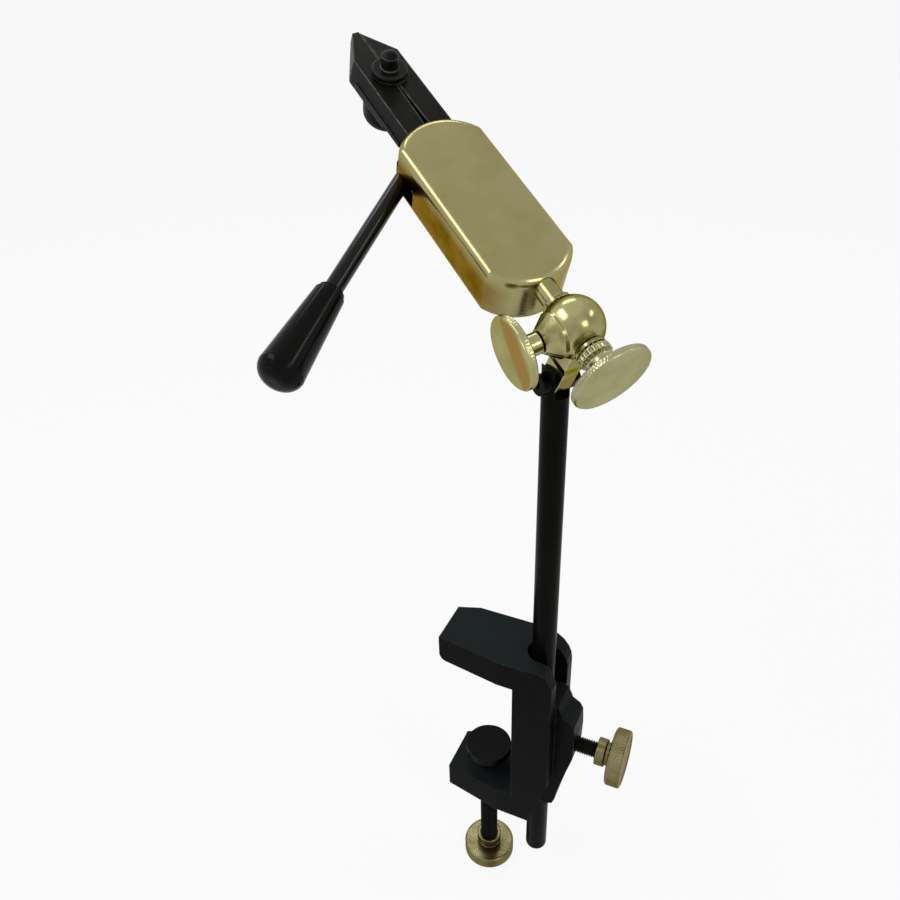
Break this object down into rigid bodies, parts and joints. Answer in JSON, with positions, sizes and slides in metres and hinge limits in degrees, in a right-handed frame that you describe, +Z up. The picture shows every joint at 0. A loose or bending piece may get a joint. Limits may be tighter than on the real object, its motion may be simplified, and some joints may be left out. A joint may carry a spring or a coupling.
{
  "type": "bench clamp vise with rotating jaws",
  "caption": "Bench clamp with a post that carries a tilting, rotating head whose narrow pointed jaws are closed by a side lever and cam; knurled knobs lock each movement.",
  "frame": {"origin": "centre of the bench-bearing underside of the upper clamp arm, on the clamp screw axis", "axes": "+Z up along the post; -X towards the open end of the clamp; +X towards the post and its lock knob"},
  "size_m": [0.1413, 0.1304, 0.3573],
  "materials": {
    "clamp_paint": "satin black",
    "black_steel": "blackened, satin",
    "brass_knurled": "satin, knurled rims",
    "brass_turned": "polished",
    "housing_plating": "polished pale plating",
    "jaw_steel": "blackened, edges worn bright",
    "bright_steel": "bright",
    "lever_black": "gloss black"
  },
  "bodies": {
    "clamp": {"clamp_frame": "clamp_paint"},
    "pad": {"clamp_pad": "black_steel"},
    "clamp_drive": {"clamp_screw": "black_steel", "clamp_knob": "brass_knurled"},
    "stem_lock": {"stem_lock_screw": "black_steel", "stem_lock_knob": "brass_knurled"},
    "stem_carriage": {"stem_foot": "black_steel"},
    "stem": {"stem_rod": "black_steel", "tilt_pivot_screw": "black_steel", "tilt_pivot_nut": "black_steel"},
    "knuckle": {"knuckle": "brass_turned"},
    "rotation_lock": {"rotation_lock_screw": "black_steel", "rotation_lock_knob": "brass_knurled"},
    "head": {"head_shaft": "brass_turned", "thrust_washer": "brass_turned", "housing_body": "housing_plating", "housing_plate": "housing_plating", "plate_screws": "brass_turned", "jaw_carrier": "black_steel", "carrier_screws": "bright_steel", "jaw_pivot_screw": "black_steel"},
    "drag": {"drag_knob": "brass_knurled"},
    "jaw_tension": {"jaw_knob": "black_steel"},
    "lever": {"cam_hub": "black_steel", "cam_lobe": "bright_steel", "lever_rod": "lever_black", "lever_grip": "lever_black"},
    "jaw_left": {"left_jaw": "jaw_steel", "jaw_spring": "bright_steel"},
    "jaw_right": {"right_jaw": "jaw_steel"}
  },
  "joints": [
    {"name": "pad_travel", "type": "slide", "parent": "clamp", "child": "pad", "axis": [0, 0, 1], "range_m": [-0.0045, 0.036]},
    {"name": "clamp_screw_turn", "type": "hinge", "parent": "pad", "child": "clamp_drive", "pos_m": [0, 0, -0.1185], "axis": [0, 0, 1], "range_deg": [-1297, 10369]},
    {"name": "stem_lock_turn", "type": "hinge", "parent": "clamp", "child": "stem_lock", "pos_m": [0.049, 0, -0.035], "axis": [1, 0, 0], "range_deg": [-360, 360]},
    {"name": "stem_height", "type": "slide", "parent": "clamp", "child": "stem_carriage", "axis": [0, 0, 1], "range_m": [-0.08, 0.06]},
    {"name": "stem_swivel", "type": "hinge", "parent": "stem_carriage", "child": "stem", "pos_m": [0.024, 0, 0], "axis": [0, 0, 1], "continuous": true},
    {"name": "head_tilt", "type": "hinge", "parent": "stem", "child": "knuckle", "pos_m": [0.024, 0, 0.133], "axis": [0.5476, 0.8368, 0], "range_deg": [-27, 45]},
    {"name": "rotation_lock_turn", "type": "hinge", "parent": "knuckle", "child": "rotation_lock", "pos_m": [0.02327, -0.01661, 0.15309], "axis": [-0.6193, -0.7615, -0.1913], "range_deg": [-360, 360]},
    {"name": "head_rotation", "type": "hinge", "parent": "knuckle", "child": "head", "pos_m": [0.03107, -0.00702, 0.1555], "axis": [-0.7395, 0.4839, 0.4679], "continuous": true},
    {"name": "drag_knob_turn", "type": "hinge", "parent": "head", "child": "drag", "pos_m": [0.04586, -0.0167, 0.14614], "axis": [0.7395, -0.4839, -0.4679], "range_deg": [-360, 360]},
    {"name": "jaw_tension_turn", "type": "hinge", "parent": "head", "child": "jaw_tension", "pos_m": [-0.06263, 0.05611, 0.20413], "axis": [-0.3042, 0.3798, -0.8736], "range_deg": [-360, 360]},
    {"name": "lever_swing", "type": "hinge", "parent": "head", "child": "lever", "pos_m": [-0.03496, 0.03764, 0.18875], "axis": [-0.3042, 0.3798, -0.8736], "range_deg": [0, 75]},
    {"name": "left_jaw_swing", "type": "hinge", "parent": "head", "child": "jaw_left", "pos_m": [-0.05959, 0.05231, 0.21286], "axis": [0.3042, -0.3798, 0.8736], "range_deg": [0, 1.51]},
    {"name": "right_jaw_swing", "type": "hinge", "parent": "head", "child": "jaw_right", "pos_m": [-0.05959, 0.05231, 0.21286], "axis": [-0.3042, 0.3798, -0.8736], "range_deg": [0, 1.51]}
  ],
  "couplings": [
    {"joint": "clamp_screw_turn", "follows": "pad_travel", "rad_per_m": 5026.5},
    {"joint": "left_jaw_swing", "follows": "lever_swing", "ratio": 0.02},
    {"joint": "right_jaw_swing", "follows": "lever_swing", "ratio": 0.02}
  ]
}
